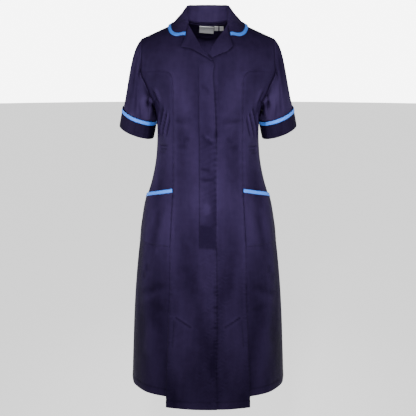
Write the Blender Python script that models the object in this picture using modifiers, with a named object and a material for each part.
"""Nurse uniform dress, hollow and in its worn shape, made of its sewn pieces.

Metres, +Z up. The origin is in the middle of the shoulder line, level with the neck ends of the
shoulder seams. The front faces -Y and the wearer's left is +X. Heights are given as a drop below
the origin. Every piece of cloth is an open surface, the cloth's inner face, thickened outwards.
"""
import bpy
import numpy as np

# Cloth, and where its edges stop short of a seam
WALL = 0.0012
BRAID_THICK = 0.0010
SEAM_GAP = 0.0003
PRINCESS_GAP = 0.0004
CORNER_INSET = 0.003
LAYER_GAP = 0.0006
EASE = 0.0009
SIDE_SEAM_ANGLE = 0.002
POCKET_SIDE_ANGLE = 0.006
POCKET_SEAM_INSET = 0.0006

# Back neck facing
FACING_DEPTH = 0.0030
FACING_HALF = 0.050
FACING_BOTTOM = 0.052
FACING_TOP_INSET = 0.0015
FACING_RISE = 0.026
FACING_NARROWING = 0.06
FACING_CROWDING = 1.3
LABEL_THICK = 0.0010

# Shoulders
NECK_HALF = 0.065
TIP_HALF = 0.176
SHOULDER_SLOPE = np.tan(np.radians(24.5))
SHOULDER_ROUND = 0.080
SQUARENESS = 0.015

# Lengths, as drops below the origin
HEM_DROP = 1.003
FRONT_HEM_DROP = 1.038
UNDERARM_DROP = 0.242
SETTLED_DROP = 0.320

# The left front lies a layer deeper where the right one covers it: from far to near in x, and
# from its start to its full depth downwards
UNDERLAP_FAR = 0.060
UNDERLAP_NEAR = 0.028
UNDERLAP_START = 0.060
UNDERLAP_FULL = 0.085

# Kick pleats, between each centre panel and its side panel
PLEAT_TOP = 0.7816
PLEAT_DEPTH = 0.058
PLEAT_SLANT = 0.034
SLANT_FADE = 0.12
FOLD_GAP = 0.0010
PLEAT_STACK = 0.0044
PLEAT_SINK = 0.0070
PLEAT_PROUD = 0.0030
PLEAT_SPREAD = 0.060
TUCK_START = 0.017
TUCK_END = 0.002

# Pockets
POCKET_MOUTH_IN = 0.447
POCKET_MOUTH_OUT = 0.469
POCKET_BOTTOM = 0.603
BRAID_WIDTH = 0.011

# Sleeves: the directions in which their curves leave the armhole and reach the cuff, with what
# the shoulder and the underarm add, and how far each direction is followed
LEAVE_OUT = 0.35
LEAVE_OUT_OVER = 0.35
LEAVE_IN_UNDER = 0.33
LEAVE_FORWARD = 0.30
LEAVE_DOWN = 0.85
LEAVE_REACH = 0.17
ARRIVE = np.array([0.20, 0.0, -0.98])
ARRIVE_REACH = 0.30
ARRIVE_REACH_OVER = 0.20
UNDERARM_FROM = -0.75
UNDERARM_TO = 0.40
CUFF_OVERHANG = 0.0006

# Collar: its rest on the shoulders, the radius of its roll, and the swell of its fall
COLLAR_REST = 1.2 * EASE
ROLL_RADIUS = 0.0022
ROLL_RADIUS_LEAST = 0.0009
ROLL_RADIUS_GROWTH = 0.05
FALL_PARTS = (0.30, 0.60)
FALL_SWELL = 0.0035
FALL_SWELL_HEIGHT = 0.03
FALL_RISE = 0.002

# Reveres
REVERE_TOP = 0.0185
REVERE_INSET = 0.0010
REVERE_SPRING = 0.0030
RIGHT_REVERE_END = 0.1046
LEFT_REVERE_END = 0.0880

# Mesh counts, and how much rows crowd towards the shoulder and the underarm
TOP_ROWS = 6
ARM_ROWS = 7
SETTLE_ROWS = 3
CENTRE_COLUMNS = 8
SIDE_COLUMNS = 6
RETURN_COLUMNS = 4
SHOULDER_COLUMNS = 5
NECK_COLUMNS = 8
SLEEVE_ROWS = 6
CUFF_ROWS = 2
FACING_ROWS = 3
LABEL_ROWS = 2
LABEL_COLUMNS = 3
COLLAR_STEPS = 26
REVERE_ROWS = 9
REVERE_COLUMNS = 4
POCKET_ROWS = 5
TOP_CROWDING = 1.5
ARM_CROWDING = 1.35
SLEEVE_CROWDING = 1.15
LEVEL_DROPS = np.array([0.36, 0.405, 0.45, 0.495, 0.545, 0.60, 0.66, 0.72, 0.765, PLEAT_TOP,
                        0.81, 0.86, 0.92, 0.965, HEM_DROP])


def table(columns, rows):
    """Name the columns of a short table."""
    return dict(zip(columns.split(), np.array(rows, dtype=float).T))


# The body of the dress, as level rings
FORM = table("drop half_width front back", [
    (0.000, 0.2000, 0.080, 0.090),
    (0.060, 0.1960, 0.092, 0.100),
    (0.110, 0.1945, 0.101, 0.108),
    (0.150, 0.1900, 0.112, 0.110),
    (0.180, 0.1780, 0.120, 0.109),
    (0.212, 0.1605, 0.126, 0.107),
    (0.235, 0.1480, 0.127, 0.104),
    (0.260, 0.1404, 0.125, 0.100),
    (0.285, 0.1382, 0.121, 0.096),
    (0.340, 0.1388, 0.113, 0.092),
    (0.382, 0.1427, 0.110, 0.096),
    (0.438, 0.1540, 0.112, 0.108),
    (0.494, 0.1708, 0.116, 0.121),
    (0.550, 0.1807, 0.121, 0.130),
    (0.636, 0.1924, 0.131, 0.137),
    (0.723, 0.2008, 0.142, 0.142),
    (0.840, 0.2079, 0.158, 0.150),
    (1.006, 0.2148, 0.180, 0.162),
    (1.060, 0.2163, 0.186, 0.165)])

# The armhole seam, from the shoulder tip to the underarm
ARMHOLE = table("drop x", [
    (0.0506, 0.1760),
    (0.075, 0.1775),
    (0.093, 0.1780),
    (0.120, 0.1795),
    (0.137, 0.1800),
    (0.152, 0.1755),
    (0.168, 0.1670),
    (0.185, 0.1605),
    (0.202, 0.1545),
    (0.2174, 0.1460),
    (0.230, 0.1450),
    (0.242, 0.1450)])

# The princess seam, as a share of the way from the armhole to where the rows are level, and how
# far each row's other end has come down the front edge from the V tip
PRINCESS = table("share x drop edge_share", [
    (0.00, 0.1800, 0.1370, 0.00),
    (0.20, 0.1500, 0.1345, 0.06),
    (0.36, 0.1223, 0.1335, 0.12),
    (0.48, 0.1030, 0.1370, 0.19),
    (0.56, 0.0945, 0.1465, 0.27),
    (0.64, 0.0920, 0.1650, 0.38),
    (0.76, 0.0915, 0.2050, 0.58),
    (0.88, 0.0915, 0.2620, 0.80),
    (1.00, 0.0918, SETTLED_DROP, 1.00)])

# The same seam lower down, and the edge of the kick pleat that follows it
SKIRT_SEAM = table("drop x", [
    (0.320, 0.0918),
    (0.449, 0.0937),
    (0.610, 0.1018),
    (0.717, 0.1033),
    (0.7816, 0.1052),
    (0.882, 0.1089),
    (0.988, 0.1128),
    (1.040, 0.1126)])

# The front edges, from the neck end of the shoulder seam: roll line, V tip, then the front edge.
# x is positive on the panel's own side and negative past the centre line.
RIGHT_EDGE = table("drop x", [
    (0.000, 0.0650),
    (0.0153, 0.0510),
    (0.0387, 0.0364),
    (0.0579, 0.0244),
    (0.0769, 0.0144),
    (0.0934, -0.0008),
    (0.1058, -0.0126),
    (0.1430, -0.0130),
    (0.207, -0.0170),
    (0.300, -0.0206),
    (0.420, -0.0226),
    (0.602, -0.0228),
    (1.040, -0.0243)])
LEFT_EDGE = table("drop x", [
    (0.000, 0.0650),
    (0.0140, 0.0500),
    (0.0246, 0.0440),
    (0.0482, 0.0250),
    (0.0695, 0.0105),
    (0.0934, -0.0008),
    (0.118, -0.0100),
    (0.150, -0.0165),
    (0.207, -0.0170),
    (1.040, -0.0170)])
RIGHT_V_TIP = 0.1058
LEFT_V_TIP = 0.1000

# The back neck seam
NECK_SEAM = table("x drop", [
    (0.000, 0.0113),
    (0.030, 0.0095),
    (0.050, 0.0055),
    (0.065, 0.0000)])

# The collar, from the middle of the back to its front end: where its stand starts, where it
# rolls over and where its outer edge lies. z of the edge is raised where the shoulder is higher.
COLLAR = table("share base_x base_y roll_x roll_y roll_z edge_x edge_y edge_z", [
    (0.00, 0.0000, 0.0470, 0.0000, 0.0560, 0.0390, 0.0000, 0.0830, -0.0260),
    (0.20, 0.0300, 0.0440, 0.0330, 0.0535, 0.0385, 0.0450, 0.0800, -0.0250),
    (0.38, 0.0530, 0.0300, 0.0550, 0.0400, 0.0365, 0.0800, 0.0630, -0.0190),
    (0.50, 0.0625, 0.0140, 0.0565, 0.0190, 0.0265, 0.0940, 0.0420, -0.0140),
    (0.62, 0.0655, -0.0020, 0.0560, 0.0010, 0.0155, 0.1010, 0.0170, -0.0130),
    (0.74, 0.0625, -0.0150, 0.0550, -0.0150, 0.0060, 0.1055, -0.0130, -0.0185),
    (0.82, 0.0590, -0.0247, 0.0542, -0.0238, 0.0008, 0.1052, -0.0390, -0.0300),
    (0.88, 0.0562, -0.0315, 0.0534, -0.0305, -0.0032, 0.0985, -0.0590, -0.0433),
    (0.94, 0.0541, -0.0377, 0.0525, -0.0368, -0.0070, 0.0830, -0.0725, -0.0513),
    (1.00, 0.0530, -0.0425, 0.0515, -0.0430, -0.0105, 0.0596, -0.0788, -0.0505)])

# The outer edges of the reveres: gorge end, notch, then the lower edge to the tip
RIGHT_REVERE = table("share x drop", [
    (0.00, 0.0612, 0.0528),
    (0.34, 0.0690, 0.0713),
    (0.52, 0.0427, 0.0759),
    (0.70, 0.0244, 0.0854),
    (0.85, 0.0092, 0.0939),
    (1.00, -0.0098, 0.1052)])
LEFT_REVERE = table("share x drop", [
    (0.00, 0.0580, 0.0540),
    (0.34, 0.0643, 0.0700),
    (0.55, 0.0485, 0.0834),
    (0.75, 0.0343, 0.0878),
    (1.00, 0.0105, 0.0975)])

# Sleeve rings: middle, tilt in the XZ plane, half sizes, and how far the front hangs lower
CUFF_TOP = dict(x=0.1884, drop=0.2520, half_width=0.0442, half_depth=0.060, dip=0.010, tilt=21.2)
CUFF_HEM = dict(x=0.1970, drop=0.3005, half_width=0.0455, half_depth=0.057, dip=0.008, tilt=20.3)
ARMHOLE_MIDDLE = 0.147
ARMHOLE_HALF_HEIGHT = 0.095
ARMHOLE_HALF_DEPTH = 0.060

# Labels inside the back neck: middle x, drop, width, height, tilt in degrees
LABELS = {
    "label_main": (-0.0040, 0.0245, 0.040, 0.019, 4.0),
    "label_size_1": (0.0235, 0.0205, 0.012, 0.012, 2.0),
    "label_size_2": (0.0370, 0.0205, 0.012, 0.012, -3.0)}

# The shape of half a ring, as x over half width for each angle from the front
RING_ANGLES = np.radians(np.linspace(0.0, 90.0, 721))


def ring_x(angle):
    """x over half width, round a ring a little squarer than an ellipse."""
    return (np.sin(angle) + SQUARENESS * np.sin(3.0 * angle)) / (1.0 - SQUARENESS)


def ring_y(angle):
    """Forward distance over depth, round the same ring."""
    return (np.cos(angle) - SQUARENESS * np.cos(3.0 * angle)) / (1.0 - SQUARENESS)


def smooth(knots, values, at):
    """Pass a smooth curve through a table's rows."""
    slopes = np.gradient(values, knots)
    first = np.clip(np.searchsorted(knots, at) - 1, 0, len(knots) - 2)
    span = knots[first + 1] - knots[first]
    t = (at - knots[first]) / span
    return ((1 + 2 * t) * (1 - t) ** 2 * values[first] + t * (1 - t) ** 2 * span * slopes[first]
            + t * t * (3 - 2 * t) * values[first + 1]
            + t * t * (t - 1) * span * slopes[first + 1])


def ease(value, start, end):
    """Go from 0 at start to 1 at end, smoothly."""
    t = np.clip((value - start) / (end - start), 0.0, 1.0)
    return t * t * (3.0 - 2.0 * t)


def form(name, drop):
    return smooth(FORM["drop"], FORM[name], drop)


def shoulder_drop(x):
    """How far the shoulder seam lies below the origin at x."""
    return np.maximum(np.abs(x) - NECK_HALF, 0.0) * SHOULDER_SLOPE


def angle_of(x, drop):
    """Angle round the front of the ring at this drop where the form has this x."""
    share = np.minimum(np.abs(x) / form("half_width", drop), 1.0)
    return np.sign(x) * np.interp(share, ring_x(RING_ANGLES), RING_ANGLES)


def on_form(angle, drop):
    """A point of the form: rings whose depth rounds off to nothing at the shoulder seam."""
    x = form("half_width", drop) * ring_x(angle)
    depth = np.where(np.cos(angle) >= 0.0, form("front", drop), form("back", drop))
    below = np.clip((drop - shoulder_drop(x)) / SHOULDER_ROUND, 0.0, 1.0)
    y = -depth * ring_y(angle) * np.sqrt(1.0 - (1.0 - below) ** 2)
    return np.stack([x, y, -drop + 0.0 * x], axis=-1)


def body(angle, drop, lift=0.0):
    """A point of the form moved out along its normal."""
    angle, drop, lift = np.broadcast_arrays(angle, drop, lift)
    step = 1e-4
    across = on_form(angle + step, drop) - on_form(angle - step, drop)
    down = on_form(angle, drop + step) - on_form(angle, drop - step)
    normal = np.cross(down, across)
    normal /= np.linalg.norm(normal, axis=-1, keepdims=True)
    return on_form(angle, drop) + normal * lift[..., None]


def top_of_form(x, y):
    """Height of the shoulders' surface above this x and y."""
    z = -shoulder_drop(x)
    for _ in range(4):
        drop = np.clip(-z, 0.0, 0.2)
        depth = np.where(y < 0.0, form("front", drop), form("back", drop))
        depth = depth * ring_y(angle_of(x, drop))
        share = np.clip(np.abs(y) / depth, 0.0, 0.97)
        z = -shoulder_drop(x) - SHOULDER_ROUND * (1.0 - np.sqrt(1.0 - share ** 2))
    return z


def raised(points, clearance):
    """Lift points that lie closer to the shoulders than the clearance."""
    x, y, z = np.moveaxis(points, -1, 0)
    step = 1e-3
    slope_x = (top_of_form(x + step, y) - top_of_form(x - step, y)) / (2 * step)
    slope_y = (top_of_form(x, y + step) - top_of_form(x, y - step)) / (2 * step)
    steepness = np.sqrt(1.0 + slope_x ** 2 + slope_y ** 2)
    floor = top_of_form(x, y) + clearance * steepness
    return np.stack([x, y, np.maximum(z, floor)], axis=-1)


def grid_normals(points):
    """Normals of a grid of points, outwards when rows go down and columns to the wearer's left."""
    across = np.gradient(points, axis=1)
    down = np.gradient(points, axis=0)
    normal = np.cross(down, across)
    return normal / np.linalg.norm(normal, axis=-1, keepdims=True)


def between(first, last, count):
    """Columns spaced evenly from one boundary to the other, for every row."""
    share = np.linspace(0.0, 1.0, count + 1)
    return first[:, None] * (1.0 - share) + last[:, None] * share


# Rows that the panels share, so that seams meet point to point
TIP_DROP = float(shoulder_drop(TIP_HALF))
TOP_SHARE = np.linspace(0.0, 1.0, TOP_ROWS + 1) ** TOP_CROWDING
ARM_SHARE = 1.0 - (1.0 - np.linspace(0.0, 1.0, ARM_ROWS + 1)[1:]) ** ARM_CROWDING
PRINCESS_TOP = PRINCESS["drop"][0]
ARMHOLE_DROPS = np.concatenate([TIP_DROP + (PRINCESS_TOP - TIP_DROP) * TOP_SHARE,
                                PRINCESS_TOP + (UNDERARM_DROP - PRINCESS_TOP) * ARM_SHARE])
SETTLE_SHARE = np.linspace(0.0, 1.0, SETTLE_ROWS + 1)[1:]
SIDE_DROPS = np.concatenate([ARMHOLE_DROPS,
                             UNDERARM_DROP + (SETTLED_DROP - UNDERARM_DROP) * SETTLE_SHARE,
                             LEVEL_DROPS])
SEAM_SHARE = np.linspace(0.0, 1.0, ARM_ROWS + SETTLE_ROWS + 1)
PRINCESS_DROPS = np.concatenate([smooth(PRINCESS["share"], PRINCESS["drop"], SEAM_SHARE),
                                 LEVEL_DROPS])
PRINCESS_X = np.concatenate([smooth(PRINCESS["share"], PRINCESS["x"], SEAM_SHARE),
                             smooth(SKIRT_SEAM["drop"], SKIRT_SEAM["x"], LEVEL_DROPS)])


def side_angles(drops):
    """Angle of the panels' outer boundary: the armhole, then the side seam."""
    armhole = angle_of(smooth(ARMHOLE["drop"], ARMHOLE["x"], np.minimum(drops, UNDERARM_DROP)),
                       drops)
    return np.where(drops < UNDERARM_DROP - 1e-6, armhole, np.pi / 2)


def beside(x, drop, gap):
    """Move a seam line sideways, towards the wearer's side when the gap is positive."""
    along_x, along_drop = np.gradient(x), np.gradient(drop)
    length = np.hypot(along_x, along_drop)
    return x + gap * along_drop / length, drop - gap * along_x / length


def pleat_edge(drop):
    return smooth(SKIRT_SEAM["drop"], SKIRT_SEAM["x"], drop)


def centre_lift(x, drop):
    """The centre panels stand a little proud along their pleat edges, most at the hem."""
    fade = ease(pleat_edge(drop) - x, PLEAT_SPREAD, 0.0)
    return PLEAT_PROUD * ease(drop, PLEAT_TOP, FRONT_HEM_DROP) * fade


def side_lift(x, drop):
    """The side panels tuck behind the pleat edges, deepest at the hem."""
    tuck = (PLEAT_STACK * ease(drop, PLEAT_TOP - TUCK_START, PLEAT_TOP - TUCK_END)
            + PLEAT_SINK * ease(drop, PLEAT_TOP, HEM_DROP))
    return -tuck * ease(x - pleat_edge(drop), PLEAT_SPREAD, 0.0)


def underlap(x, drop):
    """The left front lies a layer deeper where the right front covers it."""
    covered = ease(x, UNDERLAP_FAR, UNDERLAP_NEAR) * ease(drop, UNDERLAP_START, UNDERLAP_FULL)
    return -(WALL + EASE) * covered


def pleat_slant(drop, depth):
    """The pleat's inner layers start lower the deeper they reach."""
    return PLEAT_SLANT * (depth / PLEAT_DEPTH) * (1.0 - ease(drop, PLEAT_TOP, PLEAT_TOP + SLANT_FADE))


def cloth(name, colour, roughness):
    material = bpy.data.materials.new(name)
    material.use_nodes = True
    shader = material.node_tree.nodes["Principled BSDF"]
    shader.inputs["Base Color"].default_value = (*colour, 1.0)
    shader.inputs["Roughness"].default_value = roughness
    shader.inputs["Metallic"].default_value = 0.0
    material.diffuse_color = (*colour, 1.0)
    return material


def sheet(collection, name, points, material, thick=WALL, flip=False, closed=False, present=None):
    """Make a piece of cloth from a grid of points: rows, then columns.

    Its faces look out when rows go down and columns run to the wearer's left. flip turns them
    over, closed joins the last column to the first, and present leaves faces out.
    """
    rows, columns = points.shape[:2]
    index = np.arange(rows * columns).reshape(rows, columns)
    if closed:
        index = np.concatenate([index, index[:, :1]], axis=1)
    corners = np.stack([index[:-1, :-1], index[1:, :-1], index[1:, 1:], index[:-1, 1:]], axis=-1)
    if present is not None:
        corners = corners[present]
    corners = corners.reshape(-1, 4)
    if flip:
        corners = corners[:, ::-1]
    used, corners = np.unique(corners, return_inverse=True)
    corners = corners.reshape(-1, 4)
    mesh = bpy.data.meshes.new(name)
    mesh.from_pydata(points.reshape(-1, 3)[used].tolist(), [], corners.tolist())
    mesh.materials.append(material)
    mesh.shade_smooth()
    piece = bpy.data.objects.new(name, mesh)
    collection.objects.link(piece)
    wall = piece.modifiers.new("wall", "SOLIDIFY")
    wall.thickness = thick
    wall.offset = 1.0
    return piece


def mirrored(points, side):
    return points * np.array([side, 1.0, 1.0])


def centre_front(collection, name, material, side, edge, v_tip, layer):
    """A centre front panel with its half of the kick pleat folded under."""
    top = v_tip * TOP_SHARE
    edge_share = smooth(PRINCESS["share"], PRINCESS["edge_share"], SEAM_SHARE[1:])
    lower = v_tip + (SETTLED_DROP - v_tip) * edge_share
    inner_drop = np.concatenate([top, lower, LEVEL_DROPS, [FRONT_HEM_DROP]])
    inner_x = smooth(edge["drop"], edge["x"], inner_drop) + SEAM_GAP / 2
    outer_drop = np.concatenate([ARMHOLE_DROPS[:TOP_ROWS], PRINCESS_DROPS, [FRONT_HEM_DROP]])
    armhole_x = smooth(ARMHOLE["drop"], ARMHOLE["x"], ARMHOLE_DROPS[:TOP_ROWS])
    outer_x = np.concatenate([armhole_x, PRINCESS_X, [pleat_edge(FRONT_HEM_DROP)]])
    outer_x[TOP_ROWS:], outer_drop[TOP_ROWS:] = beside(outer_x[TOP_ROWS:], outer_drop[TOP_ROWS:],
                                                       -PRINCESS_GAP / 2)
    x = between(inner_x, outer_x, CENTRE_COLUMNS)
    drop = between(inner_drop, outer_drop, CENTRE_COLUMNS)
    drop[0] = shoulder_drop(x[0])
    lift = centre_lift(x, drop) + layer(x, drop)
    main = body(angle_of(x, drop), drop, lift)
    main[0, :, 1] = -SEAM_GAP / 2

    fold_x = outer_x[:, None]
    fold_drop = outer_drop[:, None]
    fold_lift = lift[:, -1:]
    turn = body(angle_of(fold_x + FOLD_GAP / 2, fold_drop), fold_drop, fold_lift - FOLD_GAP / 2)
    depth = PLEAT_DEPTH * np.linspace(0.0, 1.0, RETURN_COLUMNS + 1)
    back_x = fold_x - depth
    back_drop = fold_drop + pleat_slant(fold_drop, depth)
    back_lift = centre_lift(back_x, back_drop) - FOLD_GAP
    behind = body(angle_of(back_x, back_drop), back_drop, back_lift)
    points = np.concatenate([main, turn, behind], axis=1)
    present = np.ones((points.shape[0] - 1, points.shape[1] - 1), dtype=bool)
    present[:, CENTRE_COLUMNS:] = (outer_drop[:-1] > PLEAT_TOP - 1e-6)[:, None]
    return sheet(collection, name, mirrored(points, side), material, flip=side < 0, present=present)


def side_front_grid(drop_in, x_in, drop_out, angle_out, count):
    """Angles and drops of a grid from the princess seam to the side boundary."""
    angle = between(angle_of(x_in, drop_in), angle_out, count)
    drop = between(drop_in, drop_out, count)
    return angle, drop


def side_front(collection, name, material, side):
    """A side front panel, with its extension behind the kick pleat."""
    inner_x, inner_drop = beside(PRINCESS_X, PRINCESS_DROPS, PRINCESS_GAP / 2)
    outer_drop = SIDE_DROPS[TOP_ROWS:].copy()
    outer_angle = side_angles(SIDE_DROPS[TOP_ROWS:]) - SIDE_SEAM_ANGLE
    inner_x[0] -= CORNER_INSET
    outer_drop[0] += CORNER_INSET
    angle, drop = side_front_grid(inner_drop, inner_x, outer_drop, outer_angle, SIDE_COLUMNS)
    x = form("half_width", drop) * ring_x(angle)
    main = body(angle, drop, side_lift(x, drop))

    depth = PLEAT_DEPTH * np.linspace(1.0, 0.0, RETURN_COLUMNS + 1)[:-1]
    under_x = inner_x[:, None] - depth
    under_drop = inner_drop[:, None] + pleat_slant(inner_drop[:, None], depth)
    under = body(angle_of(under_x, under_drop), under_drop, side_lift(under_x, under_drop))
    points = np.concatenate([under, main], axis=1)
    present = np.ones((points.shape[0] - 1, points.shape[1] - 1), dtype=bool)
    present[:, :RETURN_COLUMNS] = (inner_drop[:-1] > PLEAT_TOP - 1e-6)[:, None]
    return sheet(collection, name, mirrored(points, side), material, flip=side < 0, present=present)


def neck_drop(x):
    """The back panel's top edge: neck seam in the middle, shoulder seams beside it."""
    neck = smooth(NECK_SEAM["x"], NECK_SEAM["drop"], np.minimum(np.abs(x), NECK_HALF))
    return np.where(np.abs(x) < NECK_HALF, neck, shoulder_drop(x))


def back_columns():
    """x of the back panel's columns along its top edge, from the right tip to the left one."""
    shoulder = np.linspace(NECK_HALF, TIP_HALF, SHOULDER_COLUMNS + 1)
    neck = np.linspace(-NECK_HALF, NECK_HALF, NECK_COLUMNS + 1)
    return np.concatenate([-shoulder[:0:-1], neck, shoulder[1:]])


def back_panel(collection, material):
    """One panel from armhole to armhole, its rows parallel to the shoulders at the top."""
    top_x = back_columns()
    top_drop = neck_drop(top_x)
    top_angle = angle_of(top_x, top_drop)
    spread = top_angle / top_angle[-1]
    level = 1.0 - ease(SIDE_DROPS, TIP_DROP, SETTLED_DROP)
    drop = SIDE_DROPS[:, None] - (TIP_DROP - top_drop) * level[:, None]
    drop[0] = top_drop
    angle = np.pi + (side_angles(SIDE_DROPS)[:, None] - SIDE_SEAM_ANGLE) * spread
    points = body(angle, drop)
    points[0, :, 1] = np.maximum(points[0, :, 1], SEAM_GAP / 2)
    return sheet(collection, "back", points, material)


def neck_facing(collection, material):
    """The facing inside the back neck, deepest in the middle."""
    reach = np.linspace(-1.0, 1.0, 2 * NECK_COLUMNS + 1) * FACING_HALF
    top = neck_drop(reach) + FACING_TOP_INSET
    bottom = FACING_BOTTOM - FACING_RISE * (reach / FACING_HALF) ** 2
    share = np.linspace(0.0, 1.0, FACING_ROWS + 1)[:, None] ** FACING_CROWDING
    drop = top + (bottom - top) * share
    angle = np.pi + angle_of(reach * (1.0 - FACING_NARROWING * share), drop)
    points = body(angle, drop, -FACING_DEPTH)
    return sheet(collection, "back_neck_facing", points, material)


def armhole_ring():
    """The sleeve head's edge, round from the shoulder tip by the front and the underarm."""
    drops = ARMHOLE_DROPS
    angles = side_angles(drops)
    front = on_form(angles, drops)
    back = on_form(np.pi - angles, drops)[-2:0:-1]
    ring = np.concatenate([front, back])
    turn = np.arctan2(-ring[:, 1] / ARMHOLE_HALF_DEPTH,
                      (ARMHOLE_MIDDLE + ring[:, 2]) / ARMHOLE_HALF_HEIGHT)
    under = ease(-np.cos(turn), UNDERARM_FROM, UNDERARM_TO)
    ring[:, 0] += 2 * SEAM_GAP + (2 * WALL + SEAM_GAP) * under
    return ring, turn


def sleeve_ring(size, turn):
    """A tilted ring of the sleeve, at the same turns as the armhole's points."""
    tilt = np.radians(size["tilt"])
    outer = size["half_width"] * np.cos(turn)
    front = np.sin(turn)
    x = size["x"] + outer * np.cos(tilt)
    y = -size["half_depth"] * front
    z = -size["drop"] + outer * np.sin(tilt) - size["dip"] * front
    return np.stack([x, y, z], axis=-1)


def sleeve_grids():
    """Rows of the sleeve from the armhole to the cuff's top, and on to its hem."""
    head, turn = armhole_ring()
    top = sleeve_ring(CUFF_TOP, turn)
    hem = sleeve_ring(CUFF_HEM, turn)
    length = np.linalg.norm(top - head, axis=1)[:, None]
    over = np.maximum(np.cos(turn), 0.0)
    under = np.maximum(-np.cos(turn), 0.0)
    leave = np.stack([LEAVE_OUT + LEAVE_OUT_OVER * over - LEAVE_IN_UNDER * under,
                      -LEAVE_FORWARD * np.sin(turn), -LEAVE_DOWN + 0.0 * turn], axis=-1)
    leave /= np.linalg.norm(leave, axis=1)[:, None]
    first = head + leave * length * LEAVE_REACH
    second = top - ARRIVE * length * (ARRIVE_REACH + ARRIVE_REACH_OVER * over[:, None])
    t = np.linspace(0.0, 1.0, SLEEVE_ROWS + 1)[:, None, None] ** SLEEVE_CROWDING
    upper = ((1 - t) ** 3 * head + 3 * (1 - t) ** 2 * t * first + 3 * (1 - t) * t * t * second
             + t ** 3 * top)
    s = np.linspace(0.0, 1.0, CUFF_ROWS + 1)[:, None, None]
    lower = top * (1 - s) + hem * s
    return upper, lower


def tube_normals(points):
    """Outward normals of closed rings, whose columns run from the outer side to the front."""
    across = np.roll(points, -1, axis=1) - np.roll(points, 1, axis=1)
    down = np.gradient(points, axis=0)
    normal = np.cross(across, down)
    return normal / np.linalg.norm(normal, axis=-1, keepdims=True)


def sleeve_set(collection, side_name, side, cloth_material, braid):
    """A sleeve, its turned-up cuff and the braid on the cuff's top edge."""
    upper, lower = sleeve_grids()
    normals = tube_normals(lower)
    sleeve = np.concatenate([upper, lower[1:]])
    band = lower + normals * (WALL + LAYER_GAP)
    band[-1, :, 2] -= CUFF_OVERHANG
    length = np.linalg.norm(band[1] - band[0], axis=1)[:, None]
    edge = band[0] + (band[1] - band[0]) * BRAID_WIDTH / length
    trim = np.stack([band[0], edge]) + normals[:1] * (WALL + SEAM_GAP)
    turned = dict(flip=side > 0, closed=True)
    sheet(collection, f"sleeve_{side_name}", mirrored(sleeve, side), cloth_material, **turned)
    sheet(collection, f"cuff_{side_name}", mirrored(band, side), cloth_material, **turned)
    sheet(collection, f"cuff_trim_{side_name}", mirrored(trim, side), braid,
          thick=BRAID_THICK, **turned)


def collar_grid():
    """Sections of the collar: stand, roll and fall, with a line where the braid starts."""
    half = np.linspace(0.0, 1.0, COLLAR_STEPS // 2 + 1)
    share = np.concatenate([-half[:0:-1], half])
    side = np.where(share < 0.0, -1.0, 1.0)
    at = {name: smooth(COLLAR["share"], COLLAR[name], np.abs(share)) for name in COLLAR}
    base_z = top_of_form(at["base_x"], at["base_y"]) + WALL + COLLAR_REST
    base = np.stack([at["base_x"], at["base_y"], base_z], axis=-1)
    roll = np.stack([at["roll_x"], at["roll_y"], at["roll_z"]], axis=-1)
    edge = np.stack([at["edge_x"], at["edge_y"], at["edge_z"]], axis=-1)
    edge = raised(edge, WALL + 2 * EASE)
    out = edge - roll
    out[:, 2] = 0.0
    out /= np.linalg.norm(out, axis=1)[:, None]
    height = np.maximum(roll[:, 2] - base[:, 2], 0.0)[:, None]
    radius = np.minimum(ROLL_RADIUS, ROLL_RADIUS_LEAST + ROLL_RADIUS_GROWTH * height)
    up = np.array([0.0, 0.0, 1.0])
    stand = [base, base * 0.5 + (roll - up * radius) * 0.5]
    turn = [roll - up * radius, roll + out * radius * 0.6, roll + out * radius * 2.0 - up * radius]
    start = turn[-1]
    span = np.linalg.norm(edge - start, axis=1)[:, None]
    fall = []
    for part in FALL_PARTS:
        swell = out * FALL_SWELL * np.minimum(height / FALL_SWELL_HEIGHT, 1.0) + up * FALL_RISE
        fall.append(start + (edge - start) * part + swell * np.sin(np.pi * part))
    fall.append(edge - (edge - start) / span * BRAID_WIDTH)
    rows = stand + turn + [raised(row, WALL + 3 * EASE) for row in fall] + [edge]
    points = np.stack(rows, axis=0)
    points[..., 0] *= side
    return points


def collar_set(collection, cloth_material, braid):
    """The collar, thickened away from the inside of its roll, and its braid."""
    points = collar_grid()
    sheet(collection, "collar", points, cloth_material, flip=True)
    normals = -grid_normals(points)
    trim = points[-2:] + normals[-2:] * (WALL + SEAM_GAP)
    sheet(collection, "collar_trim", trim, braid, thick=BRAID_THICK, flip=True)


def revere(collection, name, material, side, edge, outline, v_tip, layer):
    """The front's facing turned back over it along the roll line."""
    share = np.linspace(0.0, 1.0, REVERE_ROWS + 1)
    inner_drop = REVERE_TOP + (v_tip - REVERE_TOP) * share
    inner_x = smooth(edge["drop"], edge["x"], inner_drop) + REVERE_INSET
    outer_x = np.interp(share, outline["share"], outline["x"])
    outer_drop = np.interp(share, outline["share"], outline["drop"])
    x = between(inner_x, outer_x, REVERE_COLUMNS)
    drop = between(inner_drop, outer_drop, REVERE_COLUMNS)
    part = np.linspace(0.0, 1.0, REVERE_COLUMNS + 1)
    spring = REVERE_SPRING * part * np.sin(np.pi * share)[:, None]
    points = body(angle_of(x, drop), drop, layer(x, drop) + WALL + EASE + spring)
    return sheet(collection, name, mirrored(points, side), material, flip=side < 0)


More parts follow.
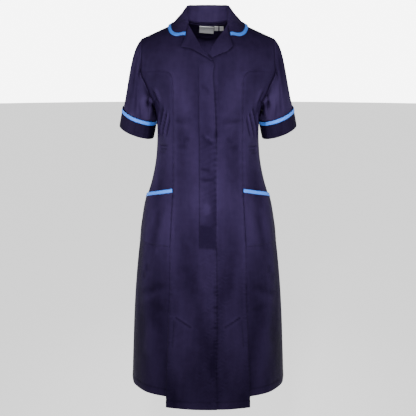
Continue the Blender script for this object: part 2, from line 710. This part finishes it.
def pocket_set(collection, side_name, side, cloth_material, braid):
    """A patch pocket caught in the princess and side seams, with braid along its mouth."""
    below_braid = np.linspace(0.0, 1.0, POCKET_ROWS)
    braid_in = POCKET_MOUTH_IN + BRAID_WIDTH
    braid_out = POCKET_MOUTH_OUT + BRAID_WIDTH
    inner_drop = np.append(POCKET_MOUTH_IN, braid_in + (POCKET_BOTTOM - braid_in) * below_braid)
    outer_drop = np.append(POCKET_MOUTH_OUT, braid_out + (POCKET_BOTTOM - braid_out) * below_braid)
    inner_x = smooth(SKIRT_SEAM["drop"], SKIRT_SEAM["x"], inner_drop) + POCKET_SEAM_INSET
    outer_angle = np.full(len(inner_drop), np.pi / 2 - POCKET_SIDE_ANGLE)
    angle, drop = side_front_grid(inner_drop, inner_x, outer_drop, outer_angle, SIDE_COLUMNS)
    points = body(angle, drop, WALL + EASE)
    turned = dict(flip=side < 0)
    sheet(collection, f"pocket_{side_name}", mirrored(points, side), cloth_material, **turned)
    trim = points[:2] + grid_normals(points)[:2] * (WALL + SEAM_GAP)
    sheet(collection, f"pocket_trim_{side_name}", mirrored(trim, side), braid,
          thick=BRAID_THICK, **turned)


def label(collection, name, material, place):
    """A small woven label inside the back neck facing."""
    middle_x, middle_drop, width, height, tilt = place
    across = np.linspace(-0.5, 0.5, LABEL_COLUMNS + 1) * width
    down = np.linspace(-0.5, 0.5, LABEL_ROWS + 1)[:, None] * height
    turn = np.radians(tilt)
    x = middle_x + across * np.cos(turn) - down * np.sin(turn)
    drop = middle_drop + down * np.cos(turn) + across * np.sin(turn)
    lift = -(FACING_DEPTH + LABEL_THICK + LAYER_GAP)
    points = body(np.pi - angle_of(x, drop), drop, lift)
    return sheet(collection, name, points, material, thick=LABEL_THICK, flip=True)


def flat(x, drop):
    return 0.0 * x


def build():
    for item in list(bpy.data.objects):
        bpy.data.objects.remove(item)
    dress = bpy.data.collections.new("nurse_uniform_dress")
    bpy.context.scene.collection.children.link(dress)
    navy = cloth("navy_polycotton", (0.028, 0.022, 0.062), 0.62)
    navy_trim = cloth("navy_collar_cloth", (0.030, 0.024, 0.066), 0.60)
    braid = cloth("light_blue_braid", (0.114, 0.357, 0.830), 0.70)
    white = cloth("woven_label", (0.55, 0.55, 0.58), 0.75)

    centre_front(dress, "front_centre_right", navy, -1.0, RIGHT_EDGE, RIGHT_V_TIP, flat)
    centre_front(dress, "front_centre_left", navy, 1.0, LEFT_EDGE, LEFT_V_TIP, underlap)
    back_panel(dress, navy)
    neck_facing(dress, navy_trim)
    for side_name, side in (("right", -1.0), ("left", 1.0)):
        side_front(dress, f"front_side_{side_name}", navy, side)
        sleeve_set(dress, side_name, side, navy, braid)
        pocket_set(dress, side_name, side, navy, braid)
    collar_set(dress, navy_trim, braid)
    revere(dress, "revere_right", navy_trim, -1.0, RIGHT_EDGE, RIGHT_REVERE, RIGHT_REVERE_END,
           flat)
    revere(dress, "revere_left", navy_trim, 1.0, LEFT_EDGE, LEFT_REVERE, LEFT_REVERE_END,
           underlap)
    for name, place in LABELS.items():
        label(dress, name, white, place)


build()
